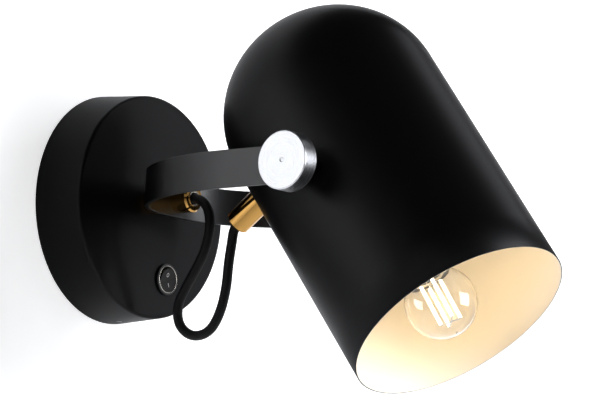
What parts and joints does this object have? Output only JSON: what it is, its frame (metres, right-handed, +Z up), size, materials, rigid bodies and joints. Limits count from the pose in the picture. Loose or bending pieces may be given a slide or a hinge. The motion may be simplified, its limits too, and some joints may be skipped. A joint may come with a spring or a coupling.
{
  "type": "wall reading lamp",
  "caption": "Wall lamp with a round canopy and rocker switch, a swivelling bent-bar yoke, and a long domed metal shade tilting between round clamping knobs, with a slack flex behind.",
  "frame": {"origin": "on the wall, at the centre of the canopy's open back", "axes": "+X to the lamp's right as it is faced from the room, +Y into the wall, +Z up; the lamp reaches out along -Y"},
  "size_m": [0.208, 0.3586, 0.261],
  "materials": {
    "black_paint": "satin black",
    "zinc_steel": "zinc plated",
    "brass": "polished",
    "white_plastic": "moulded",
    "black_plastic": "moulded, slightly glossy",
    "black_gloss_plastic": "glossy",
    "clear_plastic": "natural nylon",
    "chrome": "bright",
    "aluminium": "finely turned and brushed",
    "nickel": "nickel plated",
    "black_textile": "round flex with a braided textile cover",
    "clear_glass": "clear",
    "filament": "coated filament, glowing"
  },
  "bodies": {
    "base": {"canopy_shell": "black_paint", "wall_strap": "zinc_steel", "side_screws": "zinc_steel", "earth_screw": "brass", "terminal_block": "white_plastic", "terminal_clamps": "brass", "terminal_screws": "zinc_steel", "switch_body": "black_plastic", "switch_blades": "brass", "stop_pin": "zinc_steel"},
    "rocker": {"switch_rocker": "black_gloss_plastic"},
    "yoke": {"swivel_washer": "black_plastic", "swivel_collar": "brass", "stem_tube": "black_paint", "swivel_nipple": "zinc_steel", "stop_washer": "zinc_steel", "spring_washer": "zinc_steel", "lock_nut": "zinc_steel", "yoke_bar": "black_paint", "base_grip": "brass", "base_grip_ring": "chrome", "pivot_washers": "clear_plastic", "lamp_cord": "black_textile"},
    "shade": {"shade_shell": "black_paint", "pivot_bushes": "black_paint", "pivot_studs": "zinc_steel", "inner_washers": "zinc_steel", "pivot_nuts": "zinc_steel", "shade_grip": "brass", "shade_grip_ring": "chrome", "shade_grip_nut": "brass", "lamp_bridge": "zinc_steel", "holder_base": "black_plastic", "holder_skirt": "black_plastic", "holder_sleeve": "brass", "holder_contact": "brass", "holder_nipple": "zinc_steel", "holder_nut": "zinc_steel", "bulb_glass": "clear_glass", "bulb_stem": "clear_glass", "bulb_wires": "zinc_steel", "bulb_filaments": "filament", "bulb_cap": "nickel", "bulb_contact": "black_gloss_plastic", "lamp_lead": "black_textile"},
    "knob_left": {"knob_left": "aluminium"},
    "knob_right": {"knob_right": "aluminium"}
  },
  "joints": [
    {"name": "swivel", "type": "hinge", "parent": "base", "child": "yoke", "pos_m": [0, -0.0375, 0.004], "axis": [0, -1, 0], "range_deg": [-160, 160]},
    {"name": "tilt", "type": "hinge", "parent": "yoke", "child": "shade", "pos_m": [0, -0.229, 0.004], "axis": [1, 0, 0], "range_deg": [-55, 40], "deforming": ["lamp_cord"]},
    {"name": "rocker", "type": "hinge", "parent": "base", "child": "rocker", "pos_m": [0.01748, -0.0367, -0.04855], "axis": [0.9409, 0, 0.3387], "range_deg": [-18, 0]},
    {"name": "knob_left_turn", "type": "hinge", "parent": "shade", "child": "knob_left", "pos_m": [-0.1, -0.229, 0.004], "axis": [-1, 0, 0], "range_deg": [0, 180]},
    {"name": "knob_right_turn", "type": "hinge", "parent": "shade", "child": "knob_right", "pos_m": [0.1, -0.229, 0.004], "axis": [1, 0, 0], "range_deg": [0, 180]}
  ]
}
